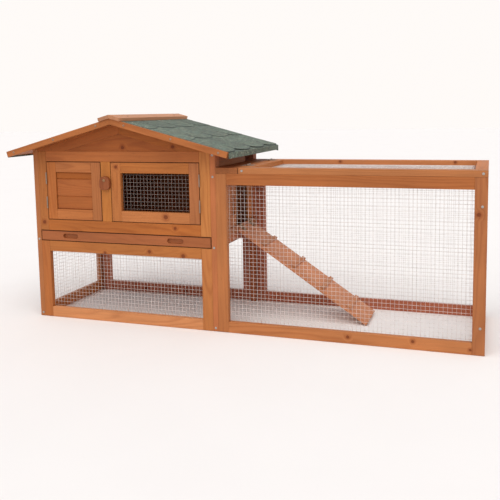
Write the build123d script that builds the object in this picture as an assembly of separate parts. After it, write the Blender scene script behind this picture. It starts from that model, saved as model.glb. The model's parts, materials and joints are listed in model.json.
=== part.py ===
from build123d import *
import math
import os

os.makedirs("parts", exist_ok=True)

# ---------------------------------------------------------------------------
# Two-storey wooden rabbit cage: a house with a gable roof on the left and a
# mesh run with a hinged lid on the right. All sizes in millimetres.
# Working axes: x to the right along the front, y from the front to the back,
# z up. x = 0 is the left wall of the house, y = 0 the front face of the frames.
# ---------------------------------------------------------------------------
L = 1500.0          # front length, house left wall to the run's right end
DEPTH = 412.0       # front face to back face
T = 18.0            # thickness of the planed bars
B = 36.0            # width of the planed bars
EASE = 0.6          # eased edge on the planed bars

# house
WH = 681.0          # outer width of the house
XI0, XI1 = T, WH - T            # between the side panels
XSL = 50.5          # right edge of the left front stile
XSR = 627.0         # left edge of the right front stile
XP0, XP1 = 266.5, 302.5         # post between the doors
ZB = 35.5           # top of the bottom rails
ZLO = 236.0         # top of the lower mesh opening
ZT0, ZT1 = 272.0, 310.0         # tray gap
ZD0, ZD1 = 347.5, 550.5         # door opening
ZTR = 585.5         # top of the front frame
ZW = 556.0          # underside of the side panels' top rails

# roof
XR = WH / 2.0       # ridge
ROOF = 0.268        # slope, rise over run (15 degrees)
ZRU = 680.0         # underside of the roof boards at the ridge
X_EAVE = -64.5      # left edge of the roof boards
Y_RF, Y_RB = -48.0, 470.0       # roof boards, front and back
DECK = 9.0          # roof boards
FELT = 3.0          # felt underlay
Y_BARGE = -58.0     # front face of the barge boards
BARGE_H = 19.7      # height of a barge board, measured plumb
Z_BARGE = 675.3     # underside of the barge boards at the ridge
CAP_HALF = 40.5     # half width of the ridge cap
Z_CAP = 707.0       # top of the ridge cap
Y_CAP = -64.0       # front end of the ridge cap
TAB = 150.0         # pitch of the shingle tabs
TAB_ROUND = 24.0    # how far a tab's rounded end bulges
ROW_X = (746.0, 610.0, 476.0)   # lowest line of each row, right slope
TAB_JOINTS = (55.0, 205.0, 355.0)

# doors
GAP = 1.5           # gap round a door
TD = 16.0           # door thickness
HINGE_Z = (408.0, 492.0)
HINGE_L = 40.0
PIN_R, HOLE_R, BARREL_R = 1.20, 1.28, 2.1

# turn button
BTN_W, BTN_H, BTN_T = 38.0, 45.0, 12.0
BTN_X, BTN_Z = 284.5, 489.0     # its screw
BTN_TOP = 12.5                  # the screw's distance below the button's top

# run
XRUN = WH           # left face of the run
HR = 515.5          # top of the run's frames
SW = 35.5           # width of the run's stiles and rails
XB1 = 755.5         # right edge of the fixed top board
XL0 = 758.0         # left edge of the lid
HL = 534.5          # top of the lid
LID_Z0 = 515.8      # underside of the lid

# wire mesh, half inch squares
PITCH = 12.7
WIRE = 0.95

# doorway in the house's right wall, and its sliding door
YD0, YD1 = 187.0, 332.0
ZDW1 = 490.0
YV0, ZV0 = 310.0, 520.0         # vent hole beside the back stile

# ramp
RAMP_Y0, RAMP_Y1 = 190.0, 338.0
RAMP_T = 12.0
RAMP_M = 0.672      # slope, fall over run
RAMP_X0 = 686.3
RAMP_ZW = 315.0     # height of its upper face at the wall's outer face
CLEATS_X = (773.0, 878.0, 978.0, 1069.0)

CX = (X_EAVE - FELT + L) / 2.0
CY = (Y_CAP + Y_RB + FELT) / 2.0
SHIFT = Location((-CX, -CY, 0))


def box(x0, x1, y0, y1, z0, z1, ease=0.0):
    s = Solid.make_box(x1 - x0, y1 - y0, z1 - z0, Plane(origin=(x0, y0, z0)))
    if ease:
        s = s.chamfer(ease, None, s.edges())
    return s


def bar(x0, x1, y0, y1, z0, z1):
    return box(x0, x1, y0, y1, z0, z1, EASE)


def prism(points, y0, y1, ease=0.0):
    """Polygon in the xz plane, run along y."""
    face = Face(Wire.make_polygon([Vector(x, y0, z) for x, z in points], close=True))
    s = Solid.extrude(face, Vector(0, y1 - y0, 0))
    if ease:
        s = s.chamfer(ease, None, s.edges())
    return s


def cyl(axis, r, c, half):
    """Cylinder about a line along x, y or z through c, of half length half."""
    d = {"x": Vector(1, 0, 0), "y": Vector(0, 1, 0), "z": Vector(0, 0, 1)}[axis]
    o = Vector(*c) - d * half
    return Solid.make_cylinder(r, 2 * half, Plane(origin=o, z_dir=d))


def one(shape):
    """The single solid of a boolean result."""
    s = shape.solids()
    assert len(s) == 1, len(s)
    return s[0]


def save(name, solids):
    solids = [s.moved(SHIFT) for s in solids]
    shape = solids[0] if len(solids) == 1 else Compound(solids)
    shape.label = name
    export_step(shape, os.path.join("parts", name + ".step"))


def spread(a, b):
    """Wire positions between two bars, half inch apart and centred."""
    n = int((b - a - 4.0) // PITCH)
    first = (a + b - n * PITCH) / 2.0
    return [first + i * PITCH for i in range(n + 1)]


def mesh_xz(x0, x1, z0, z1, y):
    """Wires that end against the bars round an opening in a front or back frame."""
    h = WIRE / 2
    out = [box(x - h, x + h, y, y + WIRE, z0, z1) for x in spread(x0, x1)]
    out += [box(x0, x1, y + 1.0, y + 1.0 + WIRE, z - h, z + h) for z in spread(z0, z1)]
    return out


def mesh_yz(y0, y1, z0, z1, x):
    h = WIRE / 2
    out = [box(x, x + WIRE, y - h, y + h, z0, z1) for y in spread(y0, y1)]
    out += [box(x + 1.0, x + 1.0 + WIRE, y0, y1, z - h, z + h) for z in spread(z0, z1)]
    return out


def mesh_xy(x0, x1, y0, y1, z):
    h = WIRE / 2
    out = [box(x - h, x + h, y0, y1, z, z + WIRE) for x in spread(x0, x1)]
    out += [box(x0, x1, y - h, y + h, z + 1.0, z + 1.0 + WIRE) for y in spread(y0, y1)]
    return out


def roof_z(x, z_ridge):
    return z_ridge - ROOF * abs(x - XR)


# ---------------------------------------------------------------------------
# House side panels: full-depth frames with the front and back frames between
# ---------------------------------------------------------------------------
zo, zi = roof_z(0, ZRU), roof_z(T, ZRU)


def side_post(x_out, y0, y1):
    if x_out == 0:
        pts = [(0, 0), (T, 0), (T, zi), (0, zo)]
    else:
        pts = [(WH - T, 0), (WH, 0), (WH, zo), (WH - T, zi)]
    return prism(pts, y0, y1, EASE)


def side_top_rail(x_out):
    if x_out == 0:
        pts = [(0, ZW), (T, ZW), (T, zi), (0, zo)]
    else:
        pts = [(WH - T, ZW), (WH, ZW), (WH, zo), (WH - T, zi)]
    return prism(pts, B, DEPTH - B, EASE)


save("house_left_frame", [
    side_post(0, 0, B), side_post(0, DEPTH - B, DEPTH), side_top_rail(0),
    bar(0, T, B, DEPTH - B, ZT0, ZT1), bar(0, T, B, DEPTH - B, 0, ZB)])
save("house_left_boards", [
    box(5, 13, B, DEPTH - B, ZT1 + i * 82.0, ZT1 + (i + 1) * 82.0, 1.0) for i in range(3)])
save("house_left_mesh", mesh_yz(B, DEPTH - B, ZB, ZT0, 12.0))

save("house_right_frame", [
    side_post(1, 0, B), side_post(1, DEPTH - B, DEPTH), side_top_rail(1),
    bar(WH - T, WH, B, DEPTH - B, ZT0, ZT1)])
# boards round the doorway, and the vent hole in the top rear corner
bx0, bx1 = WH - 16.0, WH - 8.0
save("house_right_boards", [
    box(bx0, bx1, B, YD0, ZT1, 400.0, 1.0), box(bx0, bx1, YD1, DEPTH - B, ZT1, 400.0, 1.0),
    box(bx0, bx1, B, YD0, 400.0, ZDW1, 1.0), box(bx0, bx1, YD1, DEPTH - B, 400.0, ZDW1, 1.0),
    box(bx0, bx1, B, YV0, ZDW1, ZW, 1.0), box(bx0, bx1, YV0, DEPTH - B, ZDW1, ZV0, 1.0)])
# guides of the sliding door: spacer and cover strip above, cover strip below
save("slide_door_guides", [
    box(bx1, WH, B, DEPTH - B, 499.6, 513.0, 0.4),
    box(WH, WH + 4, T, DEPTH - T, 487.0, 513.0, 0.6),
    box(WH, WH + 4, T, DEPTH - T, 298.0, 320.0, 0.6)])
panel = box(673.5, 680.5, 37.0, 187.0, 310.4, 499.2, 0.5)
slot = extrude(SlotOverall(72, 27), amount=12).solid()
slot = slot.rotate(Axis.Y, 90).rotate(Axis.X, 0)
slot = slot.moved(Location((671.0, 161.0, 393.0)))
panel = one(panel.cut(slot))
save("slide_door", [panel])

# ---------------------------------------------------------------------------
# House front: lower mesh frame, tray gap, upper frame with the two doors
# ---------------------------------------------------------------------------
save("front_lower_frame", [
    bar(XI0, XSL, 0, T, 0, ZT0), bar(XSR, XI1, 0, T, 0, ZT0),
    bar(XSL, XSR, 0, T, 0, ZB), bar(XSL, XSR, 0, T, ZLO, ZT0)])
save("front_lower_mesh", mesh_xz(XSL, XSR, ZB, ZLO, 12.5))

post_hole = cyl("y", 2.0, (BTN_X, 0, BTN_Z), 13.0)
post = one(bar(XP0, XP1, 0, T, ZD0, ZD1).cut(post_hole))
save("front_upper_frame", [
    bar(XI0, XSL, 0, T, ZT1, ZTR), bar(XSR, XI1, 0, T, ZT1, ZTR),
    bar(XSL, XSR, 0, T, ZT1, ZD0), bar(XSL, XSR, 0, T, ZD1, ZTR)])
save("front_middle_post", [post])

xa = XR - (643.2 - ZTR) / ROOF      # where the rafters' lower edge meets the rail


def rafters(y0, y1):
    left = [(XI0, ZTR), (xa, ZTR), (XR, 643.2), (XR, ZRU), (XI0, zi)]
    right = [(WH - x, z) for x, z in left]
    return [prism(left, y0, y1, 0.5), prism(right, y0, y1, 0.5)]


def gable_panel(y0, y1):
    return [prism([(xa, ZTR), (WH - xa, ZTR), (XR, 643.2)], y0, y1, 0.4)]


save("gable_rafters_front", rafters(0, T))
save("gable_panel_front", gable_panel(2.0, 14.0))
save("gable_rafters_rear", rafters(DEPTH - T, DEPTH))
save("gable_panel_rear", gable_panel(DEPTH - 14.0, DEPTH - 2.0))

# ---------------------------------------------------------------------------
# House back: frame, boards above, mesh below
# ---------------------------------------------------------------------------
yb0 = DEPTH - T
xbl = XI0 + B
save("house_back_frame", [
    bar(XI0, xbl, yb0, DEPTH, 0, ZTR), bar(XSR, XI1, yb0, DEPTH, 0, ZTR),
    bar(xbl, XSR, yb0, DEPTH, 0, ZB), bar(xbl, XSR, yb0, DEPTH, ZLO, ZT0),
    bar(xbl, XSR, yb0, DEPTH, ZD1, ZTR)])
hb = (ZD1 - ZT0) / 4.0
save("house_back_boards", [
    box(xbl, XSR, yb0 + 5, yb0 + 13, ZT0 + i * hb, ZT0 + (i + 1) * hb, 1.0) for i in range(4)])
save("house_back_mesh", mesh_xz(xbl, XSR, ZB, ZLO, yb0 + 4.0))

# ---------------------------------------------------------------------------
# Pull-out tray on two runners
# ---------------------------------------------------------------------------
save("tray_runners", [
    box(T, T + 12, T, yb0, 260.0, 272.7, 0.5), box(WH - T - 12, WH - T, T, yb0, 260.0, 272.7, 0.5)])
RECESS = 8.0        # depth of the two finger recesses
front = box(20.0, 661.0, 0, RECESS, 274.0, 308.0, 0.8)
for cx in (137.0, 535.0):
    s = extrude(SlotOverall(59, 16.5), amount=30).solid().rotate(Axis.X, 90)
    front = front.cut(s.moved(Location((cx, 22.0, 291.5)))).solids()[0]
save("tray_front", [front, box(20.8, 660.2, RECESS, 14.0, 274.8, 307.2)])
save("tray_pan", [
    box(31, 650, 14.0, 378.0, 273.0, 277.0),
    box(21, 31, 14.0, 388.0, 273.0, 302.0, 0.6), box(650, 660, 14.0, 388.0, 273.0, 302.0, 0.6),
    box(31, 650, 378.0, 388.0, 273.0, 302.0, 0.6)])

# ---------------------------------------------------------------------------
# Roof: boards, felt, three rows of round-ended shingles, barge boards, cap
# ---------------------------------------------------------------------------
nv = math.sqrt(1 + ROOF * ROOF)     # plumb thickness of a unit of thickness
dv, fv = DECK * nv, FELT * nv


def mirror_pts(pts):
    return [(WH - x, z) for x, z in pts]


deck_pts = [(XR, ZRU), (XR, ZRU + dv), (X_EAVE, roof_z(X_EAVE, ZRU + dv)), (X_EAVE, roof_z(X_EAVE, ZRU))]
save("roof_board_left", [prism(deck_pts, Y_RF, Y_RB)])
save("roof_board_right", [prism(mirror_pts(deck_pts), Y_RF, Y_RB)])

z1 = ZRU + dv
z2 = z1 + fv
xe = X_EAVE - FELT
felt_pts = [(XR, z1), (XR, z2), (xe, roof_z(xe, z2)), (xe, 566.0), (X_EAVE, 566.0), (X_EAVE, roof_z(X_EAVE, z1))]
flap_pts = [(XR, z2), (xe, roof_z(xe, z2)), (xe, roof_z(xe, z2 - 21.0)), (XR, z2 - 21.0)]
save("roof_felt_left", [prism(felt_pts, Y_RF, Y_RB), prism(flap_pts, Y_RB, Y_RB + FELT)])
save("roof_felt_right", [prism(mirror_pts(felt_pts), Y_RF, Y_RB), prism(mirror_pts(flap_pts), Y_RB, Y_RB + FELT)])

# One row of shingles: a wedge that is thickest at its lower end, and whose
# lower end is cut into round tabs. Drawn on the right slope, in the plane of
# the felt: a is the distance from the ridge down the slope.
THICK, THIN = 4.5, 2.2
ang = math.atan(ROOF)


def slope_a(x):
    return (x - XR) * nv


def row(a_low, a_up, kink=None):
    """Wedge between two distances from the ridge, tabs cut at the lower end."""
    if kink:
        prof = [(a_low, 0), (a_low, THICK), (kink, 2.5), (a_up, 2.5), (a_up, 0)]
    else:
        prof = [(a_low, 0), (a_low, THICK), (a_up, THIN), (a_up, 0)]
    body = prism(prof, Y_RF, Y_RB)
    joints = [Y_RF - (TAB - (TAB_JOINTS[0] - Y_RF))] + list(TAB_JOINTS) + [TAB_JOINTS[-1] + TAB]
    for y0, y1 in zip(joints[:-1], joints[1:]):
        # the round end: everything below an arc through both corners is cut
        g = 1.5
        ya, yb, ym = y0 + g, y1 - g, (y0 + y1) / 2
        arc = Edge.make_three_point_arc(Vector(a_low - TAB_ROUND, ya, -1), Vector(a_low, ym, -1),
                                        Vector(a_low - TAB_ROUND, yb, -1))
        e = [arc,
             Edge.make_line(Vector(a_low - TAB_ROUND, yb, -1), Vector(a_low + 5, yb, -1)),
             Edge.make_line(Vector(a_low + 5, yb, -1), Vector(a_low + 5, ya, -1)),
             Edge.make_line(Vector(a_low + 5, ya, -1), Vector(a_low - TAB_ROUND, ya, -1))]
        cutter = Solid.extrude(Face(Wire(e)), Vector(0, 0, 10))
        body = one(body.cut(cutter))
    for yj in TAB_JOINTS:
        body = one(body.cut(box(a_low - 62.0, a_low + 5, yj - 1.5, yj + 1.5, -1, 9)))
    return body


rows = []
lows = [slope_a(x) for x in ROW_X]
ups = [lows[1] - TAB_ROUND - 0.05, lows[2] - TAB_ROUND - 0.05, 0.0]


def row_parts():
    """Each row ends at the next row's round ends, so it is cut by that outline."""
    out = []
    shapes = [row(lows[0], lows[1] - TAB_ROUND - 64), row(lows[1], lows[2] - TAB_ROUND - 64),
              row(lows[2], 0.0, kink=44.0)]
    for i, s in enumerate(shapes):
        if i < 2:
            s = s.cut(prism([(0, -1), (0, 9), (lows[i + 1] + 0.0, 9), (lows[i + 1] + 0.0, -1)],
                            Y_RF - 5, Y_RB + 5))
            s = one(s)
        out.append(s)
    return out


def place_right(s):
    # slope plane to the roof: a runs down to the right, height is normal to it
    s = s.rotate(Axis.Y, math.degrees(ang))
    return s.moved(Location((XR, 0, z2)))


right_rows = [place_right(s) for s in row_parts()]
left_rows = [s.mirror(Plane(origin=(XR, 0, 0), z_dir=(1, 0, 0))) for s in right_rows]
save("roof_shingles_right", right_rows)
save("roof_shingles_left", left_rows)

# barge boards on the front edge, cut square at the lower end
c15, s15 = math.cos(ang), math.sin(ang)
xt = X_EAVE - 1.5
barge_pts = [(XR, Z_BARGE), (XR, Z_BARGE + BARGE_H), (xt, roof_z(xt, Z_BARGE + BARGE_H)),
             (xt + BARGE_H * c15 * s15, roof_z(xt + BARGE_H * c15 * s15, Z_BARGE))]
save("barge_board_left", [prism(barge_pts, Y_BARGE, Y_RF, 0.6)])
save("barge_board_right", [prism(mirror_pts(barge_pts), Y_BARGE, Y_RF, 0.6)])

zc0 = Z_BARGE + BARGE_H + 0.05      # underside of the cap at the ridge
xcl = XR - CAP_HALF
capt = Z_CAP - zc0
cap_pts = [(XR, zc0), (XR, Z_CAP), (xcl, roof_z(xcl, Z_CAP)),
           (xcl + capt * c15 * s15, roof_z(xcl + capt * c15 * s15, zc0))]
save("ridge_cap_left", [prism(cap_pts, Y_CAP, Y_RB, 0.8)])
save("ridge_cap_right", [prism(mirror_pts(cap_pts), Y_CAP, Y_RB, 0.8)])

# ---------------------------------------------------------------------------
# Doors
# ---------------------------------------------------------------------------
dl0, dl1 = XSL + GAP, XP0 - GAP
dr0, dr1 = XP1 + GAP, XSR - GAP
dz0, dz1 = ZD0 + GAP, ZD1 - GAP


def door_frame(x0, x1):
    return [bar(x0, x0 + B, 0, TD, dz0, dz1), bar(x1 - B, x1, 0, TD, dz0, dz1),
            bar(x0 + B, x1 - B, 0, TD, dz0, dz0 + B), bar(x0 + B, x1 - B, 0, TD, dz1 - B, dz1)]


save("door_left_frame", door_frame(dl0, dl1))
SEAMS = (dz0 + B, 430.0, 490.0, dz1 - B)     # seams of the left door's boards
save("door_left_boards", [
    box(dl0 + B, dl1 - B, 4, 12, a, b, 2.6) for a, b in zip(SEAMS[:-1], SEAMS[1:])])
save("door_right_frame", door_frame(dr0, dr1))
save("door_right_mesh", mesh_xz(dr0 + B, dr1 - B, dz0 + B, dz1 - B, 12.0))

# Butt hinges in the gap beside each door: a barrel in front, thin leaves in
# the gap. The outer thirds of the barrel and the pin are the frame's.
HZ = HINGE_L / 2
KM = 6.6            # half length of the moving knuckle
HY = -2.8           # the barrel's centre in front of the face


def door_hinge_fixed(xs, x_c, z_c, side):
    """side is -1 with the frame on the left of the gap, +1 on its right."""
    leaf_x = sorted((xs, x_c + side * 0.10))
    s = box(leaf_x[0], leaf_x[1], 0.0, 13.0, z_c - HZ, z_c + HZ)
    parts = [cyl("z", PIN_R, (x_c, HY, z_c), HZ)]
    for a, b in ((-HZ, -KM - 0.3), (KM + 0.3, HZ)):
        parts.append(cyl("z", BARREL_R, (x_c, HY, z_c + (a + b) / 2), (b - a) / 2))
        parts.append(box(leaf_x[0], leaf_x[1], HY, 0.0, z_c + a, z_c + b))
    return one(s.fuse(*parts).clean())


def door_hinge_moving(xd, x_c, z_c, side):
    leaf_x = sorted((x_c - side * 0.10, xd))
    s = box(leaf_x[0], leaf_x[1], 0.0, 13.0, z_c - HZ, z_c + HZ)
    k = cyl("z", BARREL_R, (x_c, HY, z_c), KM)
    t = box(leaf_x[0], leaf_x[1], HY, 0.0, z_c - KM, z_c + KM)
    hole = cyl("z", HOLE_R, (x_c, HY, z_c), HZ + 1)
    return one(s.fuse(k, t).cut(hole).clean())


xh_l = XSL + GAP / 2
xh_r = XSR - GAP / 2
save("door_left_hinge_frame_side", [door_hinge_fixed(XSL, xh_l, z, -1) for z in HINGE_Z])
save("door_left_hinge_door_side", [door_hinge_moving(dl0, xh_l, z, -1) for z in HINGE_Z])
save("door_right_hinge_frame_side", [door_hinge_fixed(XSR, xh_r, z, 1) for z in HINGE_Z])
save("door_right_hinge_door_side", [door_hinge_moving(dr1, xh_r, z, 1) for z in HINGE_Z])

# ---------------------------------------------------------------------------
# Wooden turn button on the middle post, hanging from its screw
# ---------------------------------------------------------------------------
sk = Rectangle(BTN_W, BTN_H)
vs = sk.vertices().sort_by(Axis.Y)
sk = fillet(vs[-2:], 17.5)
vs = [v for v in sk.vertices() if v.Y < -BTN_H / 2 + 0.1]
sk = fillet(vs, 13.0)
btn = extrude(sk, amount=BTN_T).solid()
btn = btn.chamfer(1.2, None, btn.faces().sort_by(Axis.Z)[-1].edges())
btn = btn.cut(Solid.make_cylinder(2.08, 40, Plane(origin=(0, BTN_H / 2 - BTN_TOP, -5)))).solids()[0]
btn = btn.rotate(Axis.X, 90)
btn = btn.moved(Location((BTN_X, -0.3, BTN_Z - (BTN_H / 2 - BTN_TOP))))
save("turn_button", [btn])


def cross_head(c, direction, r=3.8, h=1.4):
    """Low domed screw head with a cross recess, seated at c, facing direction."""
    pl = Plane(origin=c, z_dir=direction)
    s = Solid.make_cylinder(r, h, pl)
    top = s.edges().filter_by(GeomType.CIRCLE).sort_by(lambda e: (e.center() - Vector(*c)).dot(Vector(*direction)))[-1]
    s = s.chamfer(0.6, None, [top])
    loc = pl.location
    for w, d in ((r * 1.1, 0.8), (0.8, r * 1.1)):
        b = Solid.make_box(w, d, 1.0, Plane(origin=(-w / 2, -d / 2, h - 0.7))).moved(loc)
        s = one(s.cut(b))
    return s


shank = cyl("y", 2.0, (BTN_X, (-12.8 + 13.0) / 2, BTN_Z), (13.0 + 12.8) / 2)
head = cross_head((BTN_X, -12.6, BTN_Z), (0, -1, 0), r=4.6, h=2.0)
save("turn_button_screw", [one(shank.fuse(head).clean())])

# ---------------------------------------------------------------------------
# Run: front, back and end frames with mesh, fixed top board, hinged lid
# ---------------------------------------------------------------------------
xr0, xr1 = XRUN + SW, L - SW


def run_frame(y0, y1):
    return [bar(XRUN, xr0, y0, y1, 0, HR), bar(xr1, L, y0, y1, 0, HR),
            bar(xr0, xr1, y0, y1, 0, SW), bar(xr0, xr1, y0, y1, HR - SW, HR)]


save("run_front_frame", run_frame(0, T))
save("run_front_mesh", mesh_xz(xr0, xr1, SW, HR - SW, 12.5))
save("run_back_frame", run_frame(yb0, DEPTH))
save("run_back_mesh", mesh_xz(xr0, xr1, SW, HR - SW, yb0 + 4.0))
save("run_end_frame", [
    bar(L - T, L, T, T + B, 0, HR), bar(L - T, L, yb0 - B, yb0, 0, HR),
    bar(L - T, L, T + B, yb0 - B, 0, SW), bar(L - T, L, T + B, yb0 - B, HR - SW, HR)])
save("run_end_mesh", mesh_yz(T + B, yb0 - B, SW, HR - SW, L - 12.0))
save("run_top_board", [bar(XRUN, XB1, 0, DEPTH, HR, HL)])

save("lid_frame", [
    bar(XL0, L, 0, B, LID_Z0, HL), bar(XL0, L, DEPTH - B, DEPTH, LID_Z0, HL),
    bar(XL0, XL0 + B, B, DEPTH - B, LID_Z0, HL), bar(L - B, L, B, DEPTH - B, LID_Z0, HL)])
save("lid_mesh", mesh_xy(XL0 + B, L - B, B, DEPTH - B, LID_Z0 + 1.5))

# Butt hinges laid flat on top of the board and the lid, barrel over the gap
LHX, LHZ, LHR = (XB1 + XL0) / 2, HL + 2.7, 2.5
LID_HINGE_Y = (105.0, 345.0)
LHH = 18.0          # half length of a hinge


def lid_hinge_fixed(yc):
    s = box(LHX - 21, LHX - 3.2, yc - LHH, yc + LHH, HL, HL + 1.2)
    parts = [cyl("y", PIN_R, (LHX, yc, LHZ), LHH)]
    for a, b in ((-LHH, -6.3), (6.3, LHH)):
        parts.append(cyl("y", LHR, (LHX, yc + (a + b) / 2, LHZ), (b - a) / 2))
        parts.append(box(LHX - 3.2, LHX, yc + a, yc + b, HL + 0.2, HL + 1.2))
    return one(s.fuse(*parts).clean())


def lid_hinge_moving(yc):
    s = box(LHX + 3.2, LHX + 21, yc - LHH, yc + LHH, HL, HL + 1.2)
    k = cyl("y", LHR, (LHX, yc, LHZ), 6.0)
    t = box(LHX, LHX + 3.2, yc - 6.0, yc + 6.0, HL + 0.2, HL + 1.2)
    return one(s.fuse(k, t).cut(cyl("y", HOLE_R, (LHX, yc, LHZ), LHH + 1)).clean())


save("lid_hinge_board_side", [lid_hinge_fixed(y) for y in LID_HINGE_Y])
save("lid_hinge_lid_side", [lid_hinge_moving(y) for y in LID_HINGE_Y])

# ---------------------------------------------------------------------------
# Ramp from the doorway down into the run, on two small hinges
# ---------------------------------------------------------------------------
ra = math.atan(RAMP_M)
ca, sa = math.cos(ra), math.sin(ra)


def ramp_z(x):
    return RAMP_ZW - RAMP_M * (x - WH)


x_end = WH + (RAMP_ZW - 0.4 - RAMP_T * ca) / RAMP_M
ramp_pts = [(RAMP_X0, ramp_z(RAMP_X0)), (x_end, ramp_z(x_end)),
            (x_end - RAMP_T * sa, ramp_z(x_end) - RAMP_T * ca),
            (RAMP_X0, ramp_z(RAMP_X0) - RAMP_T / ca)]
save("ramp_board", [prism(ramp_pts, RAMP_Y0, RAMP_Y1, 0.6)])


def on_ramp(x, along, up):
    """Point on the ramp's upper face at x, moved down the slope and outward."""
    return (x + along * ca + up * sa, ramp_z(x) - along * sa + up * ca)


save("ramp_cleats", [
    prism([on_ramp(x, -7, 0), on_ramp(x, 7, 0), on_ramp(x, 7, 7), on_ramp(x, -7, 7)],
          RAMP_Y0, RAMP_Y1, 0.8) for x in CLEATS_X])

RHX = 688.7
RHZ = ramp_z(RHX) + 2.5 / ca
RHR = 2.3
RAMP_HINGE_Y = (216.0, 312.0)
RHH = 14.0


def ramp_hinge_fixed(yc):
    s = box(WH + 4, WH + 5.1, yc - RHH, yc + RHH, 303.0, 319.5)
    parts = [cyl("y", PIN_R, (RHX, yc, RHZ), RHH)]
    for a, b in ((-RHH, -5.3), (5.3, RHH)):
        parts.append(cyl("y", RHR, (RHX, yc + (a + b) / 2, RHZ), (b - a) / 2))
        parts.append(box(WH + 4.2, RHX, yc + a, yc + b, RHZ + 1.1, RHZ + 2.1))
    return one(s.fuse(*parts).clean())


def ramp_hinge_moving(yc):
    def plate(a0, a1, y0, y1):
        return prism([on_ramp(RHX, a0, 0), on_ramp(RHX, a1, 0), on_ramp(RHX, a1, 1.2), on_ramp(RHX, a0, 1.2)], y0, y1)
    s = plate(1.4, 19.0, yc - RHH, yc + RHH)
    k = cyl("y", RHR, (RHX, yc, RHZ), 5.0)
    t = plate(-1.7, 1.4, yc - 5.0, yc + 5.0)
    return one(s.fuse(k, t).cut(cyl("y", HOLE_R, (RHX, yc, RHZ), RHH + 1)).clean())


save("ramp_hinge_wall_side", [ramp_hinge_fixed(y) for y in RAMP_HINGE_Y])
save("ramp_hinge_ramp_side", [ramp_hinge_moving(y) for y in RAMP_HINGE_Y])

# ---------------------------------------------------------------------------
# Screw heads
# ---------------------------------------------------------------------------
save("frame_screws", [cross_head((x, 0, z), (0, -1, 0)) for x, z in
                      ((671.5, 574.0), (671.5, 505.0), (671.5, 276.0), (671.5, 11.0), (8.5, 277.0), (10.0, 12.0),
                       (1486.0, 432.0), (1486.0, 80.0))])
save("lid_screws", [cross_head((x, 0, 525.2), (0, -1, 0)) for x in (770.0, 1487.0)])
roof_screws = []
for off in (51.5, 215.5, 375.5):
    z = Z_BARGE + BARGE_H / 2 - ROOF * off
    roof_screws += [cross_head((XR - off, Y_BARGE, z), (0, -1, 0)), cross_head((XR + off, Y_BARGE, z), (0, -1, 0))]
save("barge_screws", roof_screws)
cap_screws = []
for sgn in (-1, 1):
    for y in (23.0, 383.0):
        cap_screws.append(cross_head((XR + sgn * 22.5, y, Z_CAP - ROOF * 22.5), (sgn * s15, 0, c15), r=3.4, h=1.2))
save("cap_screws", cap_screws)

print("centre shift", CX, CY)
print("ramp hinge", RHX - CX, RHZ, "lid hinge", LHX - CX, LHZ, "door hinges", xh_l - CX, xh_r - CX, HY - CY)
print("ramp end x", x_end, "slope deg", math.degrees(ra))
print("button", BTN_X - CX, BTN_Z)
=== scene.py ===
import bpy
import bmesh
import json
import math
import random
from mathutils import Vector, Matrix, noise


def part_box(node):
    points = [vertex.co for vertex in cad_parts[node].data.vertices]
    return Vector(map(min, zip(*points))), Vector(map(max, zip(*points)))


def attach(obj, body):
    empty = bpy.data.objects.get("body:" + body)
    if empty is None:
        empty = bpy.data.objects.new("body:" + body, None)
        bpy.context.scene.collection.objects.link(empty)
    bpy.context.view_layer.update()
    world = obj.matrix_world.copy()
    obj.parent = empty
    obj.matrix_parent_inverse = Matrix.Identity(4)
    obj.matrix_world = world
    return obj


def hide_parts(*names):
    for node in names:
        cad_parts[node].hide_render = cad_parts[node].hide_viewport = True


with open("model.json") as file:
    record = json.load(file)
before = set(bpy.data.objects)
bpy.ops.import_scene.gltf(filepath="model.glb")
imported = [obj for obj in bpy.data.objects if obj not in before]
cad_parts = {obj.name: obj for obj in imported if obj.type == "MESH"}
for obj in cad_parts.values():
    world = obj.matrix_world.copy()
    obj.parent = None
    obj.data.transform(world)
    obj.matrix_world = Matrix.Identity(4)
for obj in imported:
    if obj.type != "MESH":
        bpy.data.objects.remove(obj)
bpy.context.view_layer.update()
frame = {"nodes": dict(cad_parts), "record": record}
NODES, RECORD = frame["nodes"], frame["record"]
BODY = {n: b for b, ns in RECORD["behaviour"]["bodies"].items() for n in ns}
SLOT = {s["node"]: s["material_slot"] for s in RECORD["subparts"]}
CX, CY = 716.25, 204.5          # millimetres from the drawing's corner to the frame's origin


def P(x, y, z):
    """A point of the drawing, in millimetres, in the frame, in metres."""
    return Vector(((x - CX) / 1000.0, (y - CY) / 1000.0, z / 1000.0))


# ---------------------------------------------------------------------------
# Camera, fitted to the photograph
# ---------------------------------------------------------------------------
scene = bpy.context.scene
yaw, pitch, roll = 0.334986, -0.111495, -0.017316
fwd = Vector((-math.sin(yaw) * math.cos(pitch), math.cos(yaw) * math.cos(pitch), math.sin(pitch)))
right = Vector((math.cos(yaw), math.sin(yaw), 0.0))
up = right.cross(fwd)
cam_x = right * math.cos(roll) + up * math.sin(roll)
cam_y = -right * math.sin(roll) + up * math.cos(roll)
rot = Matrix((cam_x, cam_y, -fwd)).transposed().to_4x4()
cam = bpy.data.objects.new("camera", bpy.data.cameras.new("camera"))
scene.collection.objects.link(cam)
cam.matrix_world = Matrix.Translation((0.786297, -2.235111, 0.706767)) @ rot
cam.data.sensor_fit = "HORIZONTAL"
cam.data.sensor_width = 36.0
cam.data.lens = 49.884
cam.data.shift_x = 0.0008
cam.data.shift_y = -0.1202
cam.data.clip_start = 0.05
cam.data.clip_end = 60.0
cam.data.dof.use_dof = False
scene.camera = cam


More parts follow.
